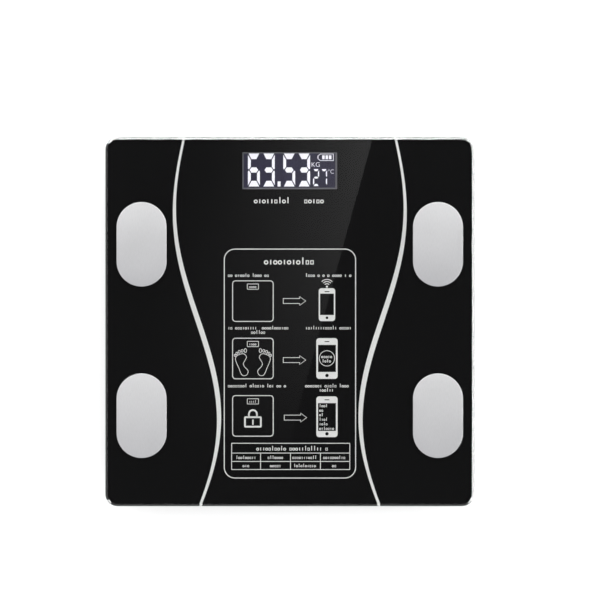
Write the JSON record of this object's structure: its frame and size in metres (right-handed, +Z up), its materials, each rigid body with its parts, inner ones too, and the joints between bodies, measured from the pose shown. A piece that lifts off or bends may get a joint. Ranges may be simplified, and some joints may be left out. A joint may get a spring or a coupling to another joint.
{
  "type": "digital bathroom scale",
  "caption": "Square glass bathroom scale on a low moulded tray, with contact pads for the feet, a display near the rear edge and a battery door underneath.",
  "frame": {"origin": "on the floor, under the middle of the platform", "axes": "+Z up, +Y towards the display edge, +X to the user's right"},
  "size_m": [0.26, 0.26, 0.0234],
  "materials": {
    "tempered_glass": "clear tempered glass over black enamel with white print, ground arris",
    "stainless_steel": "fine brushed stainless steel",
    "plated_steel": "nickel-plated stamping",
    "black_abs": "moulded with a fine spark-eroded grain",
    "grey_abs": "moulded, satin",
    "foot_rubber": "matte",
    "silicone": "cured bead",
    "white_foam": "closed-cell foam tape",
    "black_pvc": "wire insulation",
    "white_pvc": "wire insulation",
    "red_pvc": "wire insulation",
    "circuit_board": "solder mask over glass-fibre laminate",
    "black_resin": "moulded epoxy",
    "lcd_glass": "dark display glass",
    "clear_acrylic": "polished light guide",
    "cell_jacket": "shrunk sleeve"
  },
  "bodies": {
    "platform": {"backlight_guide": "clear_acrylic", "base_shell": "black_abs", "battery_cell_front": "cell_jacket", "battery_cell_rear": "cell_jacket", "battery_lead_negative": "black_pvc", "battery_lead_positive": "red_pvc", "board_screw_front_left": "plated_steel", "board_screw_front_right": "plated_steel", "board_screw_rear_left": "plated_steel", "board_screw_rear_right": "plated_steel", "bonding_bead": "silicone", "bonding_disc_front_left": "white_foam", "bonding_disc_front_right": "white_foam", "bonding_disc_rear_left": "white_foam", "bonding_disc_rear_right": "white_foam", "contact_bridge": "plated_steel", "contact_negative": "plated_steel", "contact_positive": "plated_steel", "controller_chip": "black_resin", "display_frame": "grey_abs", "electrode_front_left": "stainless_steel", "electrode_front_right": "stainless_steel", "electrode_lead_front_left": "black_pvc", "electrode_lead_front_right": "black_pvc", "electrode_lead_rear_left": "black_pvc", "electrode_lead_rear_right": "black_pvc", "electrode_nut_front_left": "plated_steel", "electrode_nut_front_right": "plated_steel", "electrode_nut_rear_left": "plated_steel", "electrode_nut_rear_right": "plated_steel", "electrode_rear_left": "stainless_steel", "electrode_rear_right": "stainless_steel", "glass_platform": "tempered_glass", "lcd_connector": "silicone", "lcd_panel": "lcd_glass", "load_cell_front_left": "plated_steel", "load_cell_front_right": "plated_steel", "load_cell_lead_front_left": "white_pvc", "load_cell_lead_front_right": "white_pvc", "load_cell_lead_rear_left": "white_pvc", "load_cell_lead_rear_right": "white_pvc", "load_cell_rear_left": "plated_steel", "load_cell_rear_right": "plated_steel", "main_board": "circuit_board", "radio_module": "plated_steel", "tact_switch": "black_resin"},
    "battery_door": {"battery_door": "black_abs"},
    "unit_button": {"unit_button": "grey_abs", "switch_plunger": "grey_abs"},
    "foot_rear_left": {"foot_cap_rear_left": "black_abs", "foot_pad_rear_left": "foot_rubber"},
    "foot_rear_right": {"foot_cap_rear_right": "black_abs", "foot_pad_rear_right": "foot_rubber"},
    "foot_front_left": {"foot_cap_front_left": "black_abs", "foot_pad_front_left": "foot_rubber"},
    "foot_front_right": {"foot_cap_front_right": "black_abs", "foot_pad_front_right": "foot_rubber"}
  },
  "joints": [
    {"name": "foot_rear_left_press", "type": "slide", "parent": "platform", "child": "foot_rear_left", "axis": [0, 0, 1], "range_m": [0, 0.0005], "stiffness_N_per_m": 1600, "springref_m": -0.003, "deforming": ["load_cell_rear_left"]},
    {"name": "foot_rear_right_press", "type": "slide", "parent": "platform", "child": "foot_rear_right", "axis": [0, 0, 1], "range_m": [0, 0.0005], "stiffness_N_per_m": 1600, "springref_m": -0.003, "deforming": ["load_cell_rear_right"]},
    {"name": "foot_front_left_press", "type": "slide", "parent": "platform", "child": "foot_front_left", "axis": [0, 0, 1], "range_m": [0, 0.0005], "stiffness_N_per_m": 1600, "springref_m": -0.003, "deforming": ["load_cell_front_left"]},
    {"name": "foot_front_right_press", "type": "slide", "parent": "platform", "child": "foot_front_right", "axis": [0, 0, 1], "range_m": [0, 0.0005], "stiffness_N_per_m": 1600, "springref_m": -0.003, "deforming": ["load_cell_front_right"]},
    {"name": "battery_door_hinge", "type": "hinge", "parent": "platform", "child": "battery_door", "pos_m": [0, 0.016, 0.0036], "axis": [-1, 0, 0], "range_deg": [0, 75]},
    {"name": "unit_button_press", "type": "slide", "parent": "platform", "child": "unit_button", "axis": [0, 0, 1], "range_m": [0, 0.0005], "stiffness_N_per_m": 3000}
  ]
}
